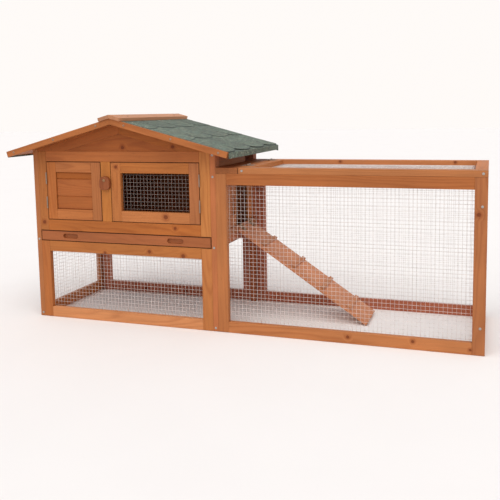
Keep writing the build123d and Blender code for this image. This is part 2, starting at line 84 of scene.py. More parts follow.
# ---------------------------------------------------------------------------
# Node graph helper
# ---------------------------------------------------------------------------
class Graph:
    def __init__(self, name):
        self.mat = bpy.data.materials.new(name)
        self.mat.use_nodes = True
        self.t = self.mat.node_tree
        self.t.nodes.clear()
        self.out = self.t.nodes.new("ShaderNodeOutputMaterial")
        self.bsdf = self.t.nodes.new("ShaderNodeBsdfPrincipled")
        self.t.links.new(self.bsdf.outputs[0], self.out.inputs[0])

    def put(self, socket, v):
        if isinstance(v, bpy.types.NodeSocket):
            self.t.links.new(v, socket)
        elif v is not None:
            socket.default_value = v

    def math(self, op, a, b=None, c=None, clamp=False):
        n = self.t.nodes.new("ShaderNodeMath")
        n.operation, n.use_clamp = op, clamp
        self.put(n.inputs[0], a)
        self.put(n.inputs[1], b)
        self.put(n.inputs[2], c)
        return n.outputs[0]

    def vec(self, op, a, b=None, scale=None):
        n = self.t.nodes.new("ShaderNodeVectorMath")
        n.operation = op
        self.put(n.inputs[0], a)
        self.put(n.inputs[1], b)
        if scale is not None:
            self.put(n.inputs["Scale"], scale)
        return n.outputs["Value"] if op in ("LENGTH", "DOT_PRODUCT", "DISTANCE") else n.outputs[0]

    def split(self, v):
        n = self.t.nodes.new("ShaderNodeSeparateXYZ")
        self.put(n.inputs[0], v)
        return n.outputs

    def join(self, x, y, z):
        n = self.t.nodes.new("ShaderNodeCombineXYZ")
        for s, v in zip(n.inputs, (x, y, z)):
            self.put(s, v)
        return n.outputs[0]

    def attr(self, name):
        n = self.t.nodes.new("ShaderNodeAttribute")
        n.attribute_name = name
        return n.outputs["Vector"]

    def coord(self):
        n = self.t.nodes.new("ShaderNodeTexCoord")
        return n.outputs["Object"]

    def noise(self, v, scale, detail=2.0, rough=0.5, distortion=0.0):
        n = self.t.nodes.new("ShaderNodeTexNoise")
        self.put(n.inputs["Vector"], v)
        self.put(n.inputs["Scale"], scale)
        self.put(n.inputs["Detail"], detail)
        self.put(n.inputs["Roughness"], rough)
        self.put(n.inputs["Distortion"], distortion)
        return n.outputs[0]

    def voronoi(self, v, scale, feature="F1", randomness=1.0):
        n = self.t.nodes.new("ShaderNodeTexVoronoi")
        n.feature = feature
        self.put(n.inputs["Vector"], v)
        self.put(n.inputs["Scale"], scale)
        self.put(n.inputs["Randomness"], randomness)
        return n.outputs

    def ramp(self, f, stops, smooth=False):
        n = self.t.nodes.new("ShaderNodeValToRGB")
        e = n.color_ramp.elements
        n.color_ramp.interpolation = "EASE" if smooth else "LINEAR"
        while len(e) < len(stops):
            e.new(0.5)
        for el, (p, c) in zip(e, stops):
            el.position = p
            el.color = (c, c, c, 1.0) if not isinstance(c, (tuple, list)) else (*c, 1.0)
        self.put(n.inputs[0], f)
        return n.outputs[0]

    def range(self, f, a, b, c=0.0, d=1.0, smooth=True):
        n = self.t.nodes.new("ShaderNodeMapRange")
        n.interpolation_type = "SMOOTHSTEP" if smooth else "LINEAR"
        for s, v in zip(n.inputs[:5], (f, a, b, c, d)):
            self.put(s, v)
        return n.outputs[0]

    def mix(self, f, a, b, blend="MIX"):
        n = self.t.nodes.new("ShaderNodeMix")
        n.data_type, n.blend_type = "RGBA", blend
        self.put(n.inputs["Factor"], f)
        ins = [s for s in n.inputs if s.type == "RGBA"]
        for s, v in zip(ins, (a, b)):
            self.put(s, (*v, 1.0) if isinstance(v, tuple) and len(v) == 3 else v)
        return [s for s in n.outputs if s.type == "RGBA"][0]

    def mixf(self, f, a, b):
        n = self.t.nodes.new("ShaderNodeMix")
        n.data_type = "FLOAT"
        self.put(n.inputs[0], f)
        self.put(n.inputs[2], a)
        self.put(n.inputs[3], b)
        return n.outputs[0]

    def hsv(self, c, h, s, v):
        n = self.t.nodes.new("ShaderNodeHueSaturation")
        self.put(n.inputs["Color"], c)
        self.put(n.inputs["Hue"], h)
        self.put(n.inputs["Saturation"], s)
        self.put(n.inputs["Value"], v)
        return n.outputs[0]

    def bump(self, h, strength, distance):
        n = self.t.nodes.new("ShaderNodeBump")
        self.put(n.inputs["Height"], h)
        n.inputs["Strength"].default_value = strength
        n.inputs["Distance"].default_value = distance
        return n.outputs[0]


# ---------------------------------------------------------------------------
# Stained fir: growth rings round a pith, fibres, knots, stain blotches
# ---------------------------------------------------------------------------
def wood(name, base, rings=0.0042, contrast=1.0, knots=(), random_knots=0.80, rough=0.58, value=1.0, inner=None, rim=None):
    g = Graph(name)
    gp, lp, hd, rnd = g.attr("gp"), g.attr("lp"), g.attr("hd"), g.attr("rnd")
    r0, r1, r2 = g.split(rnd)
    light = tuple(min(1.0, c * k) for c, k in zip(base, (1.13, 1.20, 1.24)))
    dark = tuple(c * k for c, k in zip(base, (0.66, 0.50, 0.40)))

    # knots: chance ones in cells along the bar, and those seen in the photograph
    cells = Vector((3.1, 11.0, 11.0))
    vo = g.voronoi(g.vec("MULTIPLY", gp, tuple(cells)), 1.0)
    spot = g.vec("DIVIDE", vo["Position"], tuple(cells))
    kd = g.vec("LENGTH", g.vec("MULTIPLY", g.vec("SUBTRACT", gp, spot), (0.75, 1.0, 1.0)))
    cr, cg, cb = g.split(vo["Color"])
    size = g.range(cr, 0.0, 1.0, 0.0032, 0.0080, smooth=False)
    there = g.math("GREATER_THAN", cg, random_knots)
    kn = g.math("DIVIDE", kd, size)                       # 1 at the knot's rim
    kn = g.math("ADD", kn, g.math("MULTIPLY", g.math("SUBTRACT", 1.0, there), 50.0))
    obj = g.coord()
    for (kx, ky, kz, kr) in knots:
        c = P(kx, ky, kz)
        d = g.vec("LENGTH", g.vec("SUBTRACT", obj, tuple(c)))
        kn = g.math("MINIMUM", kn, g.math("DIVIDE", d, kr / 1000.0))
    wob = g.noise(gp, 210.0, 2.0)
    kn = g.math("ADD", kn, g.math("MULTIPLY", g.math("SUBTRACT", wob, 0.5), 0.55))

    # rings, warped slowly along the bar and bent round the knots
    slow = g.noise(g.vec("MULTIPLY", gp, (1.6, 9.0, 9.0)), 1.0, 2.0)
    fast = g.noise(g.vec("MULTIPLY", gp, (9.0, 45.0, 45.0)), 1.0, 2.0)
    gx, gy, gz = g.split(gp)
    rad = g.vec("LENGTH", g.join(0.0, gy, gz))
    rad = g.math("ADD", rad, g.math("MULTIPLY", g.math("SUBTRACT", slow, 0.5), 0.034))
    rad = g.math("ADD", rad, g.math("MULTIPLY", g.math("SUBTRACT", fast, 0.5), 0.0016))
    near = g.range(kn, 0.9, 3.4, 1.0, 0.0)
    pull = g.math("MULTIPLY", near, g.math("MULTIPLY", kn, -0.0021))
    rad = g.math("ADD", rad, g.math("MULTIPLY", near, g.math("ADD", 0.006, pull)))
    t = g.math("DIVIDE", rad, rings)
    f = g.math("FRACT", t)
    late = g.ramp(f, [(0.0, 0.35), (0.10, 0.0), (0.45, 0.10), (0.86, 1.0), (1.0, 0.35)], smooth=True)
    vary = g.range(g.noise(g.vec("MULTIPLY", gp, (2.2, 22.0, 22.0)), 1.0, 1.0), 0.3, 0.7, 0.25, 0.85)
    ring = g.math("MULTIPLY", g.math("MULTIPLY", late, vary), 0.46 * contrast)
    fibre = g.noise(g.vec("MULTIPLY", gp, (22.0, 900.0, 900.0)), 1.0, 3.0, 0.6)
    streak = g.noise(g.vec("MULTIPLY", gp, (5.0, 130.0, 130.0)), 1.0, 3.0, 0.6)
    col = g.mix(ring, light, dark)
    k = g.math("ADD", 1.0, g.math("MULTIPLY", g.math("SUBTRACT", fibre, 0.5), 0.26))
    k = g.math("MULTIPLY", k, g.math("ADD", 1.0, g.math("MULTIPLY", g.math("SUBTRACT", streak, 0.5), 0.34)))
    blotch = g.noise(g.vec("MULTIPLY", gp, (4.0, 10.0, 10.0)), 1.0, 3.0, 0.55)
    k = g.math("MULTIPLY", k, g.math("ADD", 1.0, g.math("MULTIPLY", g.math("SUBTRACT", blotch, 0.5), 0.52)))
    # every bar took the stain a little differently
    k = g.math("MULTIPLY", k, g.range(r0, 0.0, 1.0, 0.88 * value, 1.10 * value, smooth=False))
    # short dark resin flecks
    fleck = g.noise(g.vec("MULTIPLY", gp, (60.0, 700.0, 700.0)), 1.0, 1.0)
    k = g.math("MULTIPLY", k, g.range(fleck, 0.69, 0.78, 1.0, 0.72))
    # edges: stain pools at the ends and the arrises wear lighter
    ax, ay, az = g.split(g.vec("ABSOLUTE", lp))
    hx, hy, hz = g.split(hd)
    ex, ey, ez = g.math("SUBTRACT", hx, ax), g.math("SUBTRACT", hy, ay), g.math("SUBTRACT", hz, az)
    lo = g.math("MINIMUM", ey, ez)
    hi = g.math("MAXIMUM", ey, ez)
    second = g.math("MAXIMUM", g.math("MINIMUM", ex, hi), lo)      # middle one of the three distances
    jag = g.math("MULTIPLY", g.noise(gp, 160.0, 2.0), 0.0016)
    rub = g.range(g.math("ADD", second, jag), 0.0006, 0.0022, 1.0, 0.0)
    k = g.math("MULTIPLY", k, g.math("ADD", 1.0, g.math("MULTIPLY", rub, g.range(fast, 0.42, 0.62, -0.10, 0.16))))
    endk = g.range(g.math("ADD", ex, g.math("MULTIPLY", jag, 2.0)), 0.0006, 0.0045, 0.74, 1.0)
    k = g.math("MULTIPLY", k, endk)
    col = g.mix(1.0, col, g.join(k, k, k), "MULTIPLY")
    col = g.hsv(col, g.range(r1, 0.0, 1.0, 0.4985, 0.5020, smooth=False), g.range(r2, 0.0, 1.0, 0.97, 1.03, smooth=False), 1.0)
    col = g.mix(1.0, col, g.attr("tone"), "MULTIPLY")      # painted light: the bottom rails are lightened as if lit by the floor's bounce; some other bars are lightened or darkened by a given factor
    if rim:                                     # painted shade: the outer edge of a door or a tray front is darkened, standing for the shade in the gap round it
        px, py, pz = g.split(obj)
        a, b = (Vector(c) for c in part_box(rim))
        d = g.math("MINIMUM", g.math("SUBTRACT", px, a.x), g.math("SUBTRACT", b.x, px))
        d = g.math("MINIMUM", d, g.math("MINIMUM", g.math("SUBTRACT", pz, a.z), g.math("SUBTRACT", b.z, pz)))
        d = g.math("ADD", d, g.math("MULTIPLY", jag, -0.6))
        # painted gap shade: nearly black-brown at the outer edge, fading out within about 2 mm
        col = g.mix(g.range(d, -0.0004, 0.0018, 0.86, 0.0), col, (0.040, 0.009, 0.003))
    # knots on top
    halo = g.range(kn, 1.0, 2.4, 0.42, 0.0)
    col = g.mix(halo, col, tuple(c * k2 for c, k2 in zip(base, (0.62, 0.42, 0.32))))
    heart = g.range(kn, 0.72, 1.06, 1.0, 0.0)
    kring = g.math("FRACT", g.math("MULTIPLY", kn, 4.0))
    kcol = g.mix(g.math("MULTIPLY", kring, 0.5), tuple(c * k2 for c, k2 in zip(base, (0.40, 0.24, 0.18))),
                 tuple(c * k2 for c, k2 in zip(base, (0.24, 0.13, 0.10))))
    col = g.mix(g.math("MULTIPLY", heart, 0.74), col, kcol)
    if inner:                                   # painted shade: faces towards the inside keep less light and are darkened
        axis, at, sign, keep = inner
        q = g.math("MULTIPLY", g.math("SUBTRACT", g.split(obj)[axis], at), sign)
        inside_shade = g.range(q, 0.0, 0.001, 0.0, 1.0)
        col = g.mix(g.math("MULTIPLY", inside_shade, 1.0 - keep), col, (0.022, 0.006, 0.003))
    g.put(g.bsdf.inputs["Base Color"], col)
    ro = g.math("ADD", rough, g.math("MULTIPLY", g.math("SUBTRACT", streak, 0.5), 0.22))
    ro = g.math("ADD", ro, g.math("MULTIPLY", ring, -0.10))
    ro = g.math("ADD", ro, g.math("MULTIPLY", g.math("SUBTRACT", 1.0, endk), 0.9), clamp=True)
    g.put(g.bsdf.inputs["Roughness"], ro)
    g.bsdf.inputs["Specular IOR Level"].default_value = 0.20
    h = g.math("ADD", g.math("MULTIPLY", fibre, 0.55), g.math("MULTIPLY", ring, 0.5))
    h = g.math("ADD", h, g.math("MULTIPLY", streak, 0.35))
    h = g.math("SUBTRACT", h, g.math("MULTIPLY", g.range(g.math("ABSOLUTE", g.math("SUBTRACT", kn, 1.0)), 0.0, 0.14, 1.0, 0.0), 0.8))
    g.put(g.bsdf.inputs["Normal"], g.bump(h, 0.40, 0.0005))
    return g.mat


# ---------------------------------------------------------------------------
# Mineral felt: crushed slate granules pressed into bitumen
# ---------------------------------------------------------------------------
def felt(name):
    g = Graph(name)
    gp, lp, hd, rnd = g.attr("gp"), g.attr("lp"), g.attr("hd"), g.attr("rnd")
    r0, r1, r2 = g.split(rnd)
    v = g.voronoi(gp, 620.0)
    cr, cg, cb = g.split(v["Color"])
    grain_c = g.ramp(cr, [(0.0, (0.018, 0.030, 0.022)), (0.30, (0.055, 0.092, 0.063)), (0.62, (0.088, 0.138, 0.095)),
                          (0.88, (0.130, 0.184, 0.134)), (1.0, (0.33, 0.35, 0.30))])
    cloud = g.noise(gp, 9.0, 4.0, 0.6)
    patch = g.noise(gp, 42.0, 3.0, 0.6)
    k = g.math("ADD", 1.0, g.math("MULTIPLY", g.math("SUBTRACT", cloud, 0.5), 0.85))
    k = g.math("MULTIPLY", k, g.math("ADD", 1.0, g.math("MULTIPLY", g.math("SUBTRACT", patch, 0.5), 1.5)))
    mid = g.noise(gp, 95.0, 2.0, 0.6)
    k = g.math("MULTIPLY", k, g.math("ADD", 1.0, g.math("MULTIPLY", g.math("SUBTRACT", mid, 0.5), 2.2)))
    fleck = g.noise(gp, 210.0, 2.0, 0.7)
    k = g.math("MULTIPLY", k, g.math("ADD", 1.0, g.math("MULTIPLY", g.math("SUBTRACT", fleck, 0.5), 2.2)))
    k = g.math("MULTIPLY", k, g.range(r0, 0.0, 1.0, 0.88, 1.12, smooth=False))
    col = g.mix(1.0, grain_c, g.join(k, k, k), "MULTIPLY")
    # rubbed bald specks show the black bitumen, and so does every cut edge
    warm = g.range(g.noise(gp, 60.0, 3.0, 0.6), 0.40, 0.62, 0.0, 0.75)
    col = g.mix(warm, col, g.mix(1.0, (1.34, 1.0, 0.86), col, "MULTIPLY"))
    bald = g.range(g.noise(gp, 95.0, 3.0, 0.65), 0.66, 0.72, 0.0, 0.75)
    ex, ey, ez = g.split(lp)                       # x: metres to the nearest cut edge, y: 1 on the edge's wall
    jag = g.math("MULTIPLY", g.noise(gp, 240.0, 2.0), 0.0030)
    cut = g.range(g.math("ADD", ex, g.math("MULTIPLY", jag, -0.8)), 0.0002, 0.0016, 1.0, 0.0)
    cut = g.math("MAXIMUM", cut, ey)
    col = g.mix(g.math("MAXIMUM", bald, g.math("MULTIPLY", cut, 0.75)), col, (0.016, 0.022, 0.018))
    g.put(g.bsdf.inputs["Base Color"], col)
    g.put(g.bsdf.inputs["Roughness"], g.range(cb, 0.0, 1.0, 0.72, 0.96, smooth=False))
    g.bsdf.inputs["Specular IOR Level"].default_value = 0.35
    g.bsdf.inputs["Sheen Weight"].default_value = 0.12
    h = g.math("ADD", g.math("MULTIPLY", g.math("SUBTRACT", 1.0, v["Distance"]), 0.8), g.math("MULTIPLY", patch, 0.7))
    g.put(g.bsdf.inputs["Normal"], g.bump(h, 0.75, 0.0012))
    return g.mat


def metal(name, colour, rough, spangle=60.0, dull=(0.30, 0.29, 0.27), amount=0.35, metallic=1.0):
    g = Graph(name)
    co = g.coord()
    v = g.voronoi(co, spangle)
    cr, cg, cb = g.split(v["Color"])
    n = g.noise(co, 130.0, 3.0, 0.6)
    k = g.range(cr, 0.0, 1.0, 0.86, 1.08, smooth=False)
    col = g.mix(1.0, colour, g.join(k, k, k), "MULTIPLY")
    col = g.mix(g.range(n, 0.52, 0.74, 0.0, amount), col, dull)
    g.put(g.bsdf.inputs["Base Color"], col)
    g.put(g.bsdf.inputs["Roughness"], g.math("ADD", rough, g.math("MULTIPLY", g.math("SUBTRACT", n, 0.5), 0.28), clamp=True))
    g.bsdf.inputs["Metallic"].default_value = metallic
    g.put(g.bsdf.inputs["Normal"], g.bump(g.noise(co, 900.0, 3.0), 0.20, 0.0003))
    return g.mat


FIR = (0.376, 0.119, 0.033)
M = {
    "stained_fir": wood("stained_fir", FIR),
    "inner_timber": wood("inner_timber", (0.30, 0.095, 0.032), value=0.92, rough=0.62),
    "cap_timber": wood("cap_timber", (0.48, 0.215, 0.110), random_knots=0.86),
    "button_timber": wood("button_timber", (0.265, 0.072, 0.022), rings=0.0026, random_knots=2.0, rough=0.45),
    "mineral_felt": felt("mineral_felt"),
    "galvanised_wire": metal("galvanised_wire", (0.75, 0.675, 0.63), 0.45, 90.0, (0.44, 0.39, 0.36), 0.5, 0.55),
    "zinc_hardware": metal("zinc_hardware", (0.46, 0.43, 0.40), 0.50, 160.0, (0.26, 0.20, 0.15), 0.6, 0.8),
    "dull_hardware": metal("dull_hardware", (0.33, 0.245, 0.19), 0.60, 160.0, (0.20, 0.14, 0.10), 0.6, 0.6),
    "stained_hardware": metal("stained_hardware", (0.36, 0.22, 0.14), 0.72, 160.0, (0.24, 0.10, 0.04), 0.7, 0.35),
    "aged_hardware": metal("aged_hardware", (0.36, 0.21, 0.105), 0.50, 160.0, (0.14, 0.07, 0.035), 0.6, 0.75),
    "window_wire": metal("window_wire", (0.40, 0.34, 0.31), 0.50, 90.0, (0.24, 0.20, 0.18), 0.5, 0.6),
}
WOOD_OF = {
    # the gable panel and its rafters take a darker copy of the fir: painted shade under the roof's overhang
    "gable_panel_front": wood("fir_gable_shaded", (0.300, 0.080, 0.016), knots=[(351, 2, 598, 6.5)], random_knots=0.97),
    "gable_rafters_front": wood("fir_rafters_shaded", (0.300, 0.080, 0.016), knots=[(535, 0, 600, 6.0)], random_knots=0.97),
    "door_left_frame": wood("fir_door_left_frame", (0.355, 0.108, 0.029), random_knots=0.97, rim="door_left_frame"),
    "door_left_boards": wood("fir_door_left", (0.340, 0.093, 0.020), random_knots=0.97),
    "house_back_boards": wood("fir_back_boards", (0.340, 0.100, 0.035), random_knots=0.90, inner=(1, 0.1795, -1.0, 0.40)),
    "door_right_frame": wood("fir_door_right", FIR, knots=[(324, 0, 533, 6.0), (503, 0, 370, 8.5), (538, 0, 337, 5.0)], random_knots=0.98, rim="door_right_frame"),
    "front_lower_frame": wood("fir_front_lower", FIR, knots=[(270, 0, 240, 5.0), (439, 0, 252, 6.5), (562, 0, 243, 7.5)], random_knots=0.97),
    "front_upper_frame": wood("fir_front_upper", FIR, knots=[(34, 0, 338, 7.5), (536, 0, 334, 5.5)], random_knots=0.97),
    "house_back_frame": wood("fir_house_back", (0.360, 0.102, 0.050), knots=[(215, 394, 14, 7.0), (385, 394, 14, 7.0)], random_knots=0.95),
    "run_front_frame": wood("fir_run_front", (0.375, 0.118, 0.033), knots=[(1104, 0, 21, 5.5), (1298, 0, 25, 5.5), (1460, 0, 15, 4.0),
                                                                          (1477, 0, 409, 6.5)], random_knots=0.97),
    "lid_frame": wood("fir_lid", (0.420, 0.142, 0.046), knots=[(1005, 376, 529, 5.0), (1394, 376, 529, 5.0)], random_knots=0.95),
    "run_back_frame": wood("fir_run_back", (0.380, 0.110, 0.058)),
    "house_right_frame": wood("fir_side_right", (0.370, 0.105, 0.042)),
    "ramp_board": wood("fir_ramp", (0.500, 0.187, 0.080), random_knots=0.90, rough=0.60),
    "ramp_cleats": wood("fir_cleats", (0.490, 0.180, 0.076), random_knots=0.95, rough=0.60),
    "tray_front": wood("fir_tray", (0.318, 0.094, 0.032), random_knots=0.97, rim="tray_front"),
}


def wood_for(node):
    return WOOD_OF.get(node) or M[SLOT[node]]


# ---------------------------------------------------------------------------
# Timber: every bar of a node is cut to the node's own shape, and carries the
# direction of its grain, its pith and its edges with it
# ---------------------------------------------------------------------------
def write_vec(me, name, values):
    a = me.attributes.get(name) or me.attributes.new(name, "FLOAT_VECTOR", "POINT")
    a.data.foreach_set("vector", [c for v in values for c in v])


def groups_of(me, sizes=None):
    n = len(me.vertices)
    if sizes and sum(sizes) == n:
        out, i = [], 0
        for s in sizes:
            out.append(range(i, i + s))
            i += s
        return out
    if not sizes and n % 96 == 0:
        return [range(i, i + 96) for i in range(0, n, 96)]
    return [range(n)]


X, Y, Z = Vector((1, 0, 0)), Vector((0, 1, 0)), Vector((0, 0, 1))
SLOPE = 0.268
AL = Vector((1, 0, SLOPE)).normalized()       # up the left slope of the roof
AR = Vector((1, 0, -SLOPE)).normalized()      # down the right slope
RAMP = Vector((1, 0, -0.672)).normalized()
GRAIN = {
    "house_left_boards": Y, "house_right_boards": Y, "house_back_boards": X, "door_left_boards": X,
    "gable_rafters_front": (AL, AR), "gable_rafters_rear": (AL, AR), "gable_panel_front": X, "gable_panel_rear": X,
    "barge_board_left": AL, "barge_board_right": AR, "ridge_cap_left": Y, "ridge_cap_right": Y,
    "roof_board_left": Y, "roof_board_right": Y, "ramp_board": RAMP, "ramp_cleats": Y, "turn_button": Z,
    "slide_door": Z, "tray_front": X, "tray_pan": (X, Y, Y, X), "front_middle_post": Z, "run_top_board": Y,
}
SIZES = {"gable_rafters_front": [124, 124], "gable_rafters_rear": [124, 124], "tray_pan": [24, 96, 96, 96]}
# Per-bar colour factors: the bottom rails of the house and the run are lightened, painted bounce light from the floor;
# the other entries lighten or darken a bar by a given factor.
LIGHTER_BAR, BOUNCE_LIT, DARKER_BAR = (1.18, 1.27, 1.20), (1.24, 1.43, 1.68), (0.87, 0.80, 0.74)
TONES = [                         # node, a point (x, z) inside a front bar, the factor the bar's colour is multiplied by
    ("front_upper_frame", (645, 450), LIGHTER_BAR), ("front_lower_frame", (645, 150), LIGHTER_BAR), ("front_middle_post", (284, 450), LIGHTER_BAR),
    ("front_lower_frame", (340, 254), (1.11, 1.15, 1.18)), ("front_lower_frame", (340, 18), BOUNCE_LIT),
    ("run_front_frame", (1100, 18), (1.26, 1.48, 2.00)), ("front_upper_frame", (340, 330), DARKER_BAR), ("front_upper_frame", (340, 568), DARKER_BAR),
    ("house_right_frame", (672, 300), (1.16, 1.22, 1.00)),
]


def tone_of(node, lo, hi):
    for name, (x, z), tone in TONES:
        q = P(x, 5, z)
        if name == node and all(lo[a] <= q[a] <= hi[a] for a in range(3)):
            return tone
    return (1.0, 1.0, 1.0)



def timber(node):
    src = NODES[node]
    me = src.data.copy()
    me.name = node + "_timber"
    ob = bpy.data.objects.new(node + "_timber", me)
    scene.collection.objects.link(ob)
    rng = random.Random("grain " + node)
    n = len(me.vertices)
    gp, lp, hd, rn, tn = ([None] * n for _ in range(5))
    sizes = SIZES.get(node) or (None if n % 96 == 0 else [n])
    gs = groups_of(me, sizes)
    co = [v.co.copy() for v in me.vertices]
    for gi, ids in enumerate(gs):
        pts = [co[i] for i in ids]
        lo = Vector([min(p[a] for p in pts) for a in range(3)])
        hi = Vector([max(p[a] for p in pts) for a in range(3)])
        want = GRAIN.get(node)
        if isinstance(want, tuple):
            want = want[gi % len(want)]
        if want is None:
            d = hi - lo
            want = (X, Y, Z)[max(range(3), key=lambda a: d[a])]
        e1 = want
        e2 = Y if abs(e1.y) < 0.5 else Z
        e3 = e1.cross(e2).normalized()
        q = [Vector((p.dot(e1), p.dot(e2), p.dot(e3))) for p in pts]
        ql = Vector([min(p[a] for p in q) for a in range(3)])
        qh = Vector([max(p[a] for p in q) for a in range(3)])
        mid, half = (ql + qh) / 2, (qh - ql) / 2
        thin_y = half.y < half.z
        off = rng.uniform(0.035, 0.085) * rng.choice((-1, 1))
        side = rng.uniform(-0.6, 0.6) * (half.z if thin_y else half.y) * 1.6
        oy, oz = (off, side) if thin_y else (side, off)
        tilt = rng.uniform(-0.035, 0.035)
        tilt2 = rng.uniform(-0.02, 0.02)
        ox = rng.uniform(-40, 40)
        r = (rng.random(), rng.random(), rng.random())
        tint = tone_of(node, lo, hi)
        for i, p in zip(ids, q):
            tn[i] = tint
            l = p - mid
            lp[i] = l
            hd[i] = half
            gp[i] = (l.x + ox, l.y + oy + l.x * tilt2, l.z + oz + l.x * tilt)
            rn[i] = r
    for name, vals in (("gp", gp), ("lp", lp), ("hd", hd), ("rnd", rn), ("tone", tn)):
        write_vec(me, name, vals)
    me.materials.clear()
    me.materials.append(wood_for(node))
    for p in me.polygons:
        p.material_index = 0
    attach(ob, BODY[node])
    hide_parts(node)
    return ob


WOODEN = [n for n in NODES if SLOT[n] in ("stained_fir", "inner_timber", "cap_timber", "button_timber")]
for n in WOODEN:
    timber(n)


# ---------------------------------------------------------------------------
# Welded wire: round galvanised wires, slightly uneven as hand-stretched mesh is
# ---------------------------------------------------------------------------
def wires(node, seed):
    src = NODES[node]
    me0 = src.data
    n = len(me0.vertices)
    assert n % 24 == 0, node
    runs = []
    for i in range(0, n, 24):
        pts = [me0.vertices[j].co for j in range(i, i + 24)]
        lo = Vector([min(p[a] for p in pts) for a in range(3)])
        hi = Vector([max(p[a] for p in pts) for a in range(3)])
        runs.append((lo, hi))
    allo = Vector([min(r[0][a] for r in runs) for a in range(3)])
    alhi = Vector([max(r[1][a] for r in runs) for a in range(3)])
    nrm = min(range(3), key=lambda a: alhi[a] - allo[a])
    ua, va = [a for a in range(3) if a != nrm]
    c_n = (allo[nrm] + alhi[nrm]) / 2

    def drift(p):
        """How the panel strays from flat and square at p; nothing at the frame."""
        eu = min(p[ua] - allo[ua], alhi[ua] - p[ua])
        ev = min(p[va] - allo[va], alhi[va] - p[va])
        k = min(1.0, max(0.0, min(eu, ev)) / 0.05)
        q = Vector((p[ua] * 3.3 + seed, p[va] * 3.3 - seed, seed * 1.7))
        q2 = q * 3.1
        d = Vector((0, 0, 0))
        d[nrm] = k * (0.0012 * noise.noise(q) + 0.0003 * noise.noise(q2))
        d[ua] = k * (0.0004 * noise.noise(q + Vector((9, 2, 4))) + 0.00012 * noise.noise(q2 + Vector((5, 5, 5))))
        d[va] = k * (0.0004 * noise.noise(q + Vector((1, 8, 6))) + 0.00012 * noise.noise(q2 + Vector((2, 7, 1))))
        return d

    verts, faces = [], []
    sides, rad = 6, 0.00041
    for lo, hi in runs:
        ax = max(range(3), key=lambda a: hi[a] - lo[a])
        length = hi[ax] - lo[ax]
        mid = (lo + hi) / 2
        mid[nrm] += (c_n - mid[nrm]) * 0.10       # pressed together at the welds
        steps = max(2, int(round(length / 0.0200)))
        o1, o2 = [a for a in range(3) if a != ax]
        base = len(verts)
        for s in range(steps + 1):
            p = mid.copy()
            p[ax] = lo[ax] + length * s / steps
            p += drift(p)
            p[ax] = min(max(p[ax], lo[ax]), hi[ax])
            for j in range(sides):
                w = 2 * math.pi * (j + 0.5) / sides
                q = p.copy()
                q[o1] += rad * math.cos(w)
                q[o2] += rad * math.sin(w)
                verts.append(q)
        for s in range(steps):
            for j in range(sides):
                a, b = base + s * sides + j, base + s * sides + (j + 1) % sides
                faces.append((a, b, b + sides, a + sides))
        faces.append([base + j for j in reversed(range(sides))])
        faces.append([base + steps * sides + j for j in range(sides)])
    me = bpy.data.meshes.new(node + "_wires")
    me.from_pydata(verts, [], faces)
    me.polygons.foreach_set("use_smooth", [len(f) == 4 for f in faces])
    me.update()
    bm = bmesh.new()
    bm.from_mesh(me)
    bmesh.ops.recalc_face_normals(bm, faces=bm.faces[:])
    bm.to_mesh(me)
    bm.free()
    me.materials.append(M["window_wire" if node == "door_right_mesh" else "galvanised_wire"])
    ob = bpy.data.objects.new(node + "_wires", me)
    scene.collection.objects.link(ob)
    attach(ob, BODY[node])
    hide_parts(node)
    return ob


for i, n in enumerate(sorted(k for k in NODES if SLOT[k] == "galvanised_wire")):
    wires(n, 3.7 * (i + 1))


# ---------------------------------------------------------------------------
# Roof felt: the underlay with its folded edges, and three rows of round tabs
# ---------------------------------------------------------------------------
def felt_underlay(node):
    src = NODES[node]
    me = src.data.copy()
    ob = bpy.data.objects.new(node + "_sheet", me)
    scene.collection.objects.link(ob)
    n = len(me.vertices)
    write_vec(me, "gp", [v.co for v in me.vertices])
    write_vec(me, "lp", [(1.0, 0.0, 0.0)] * n)
    write_vec(me, "hd", [(1.0, 1.0, 1.0)] * n)
    write_vec(me, "rnd", [(0.35, 0.5, 0.5)] * n)
    me.materials.clear()
    me.materials.append(M["mineral_felt"])
    for p in me.polygons:
        p.material_index = 0
    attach(ob, BODY[node])
    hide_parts(node)


XR, ZRU, DECK, FELT = 340.5, 680.0, 9.0, 3.0
NV = math.sqrt(1 + SLOPE * SLOPE)
Z2 = ZRU + (DECK + FELT) * NV             # top of the underlay at the ridge
Y_RF, Y_RB = -48.0, 470.0
TAB, TAB_ROUND = 150.0, 24.0
JOINTS = (55.0, 205.0, 355.0)
LOWS = [(x - XR) * NV for x in (746.0, 610.0, 476.0)]


def on_roof(side, a, y, h):
    """Millimetres down the slope, along the ridge and above the underlay."""
    ang = math.atan(SLOPE)
    x = a * math.cos(ang) + h * math.sin(ang)
    z = -a * math.sin(ang) + h * math.cos(ang)
    return P(XR + side * x, y, Z2 + z)


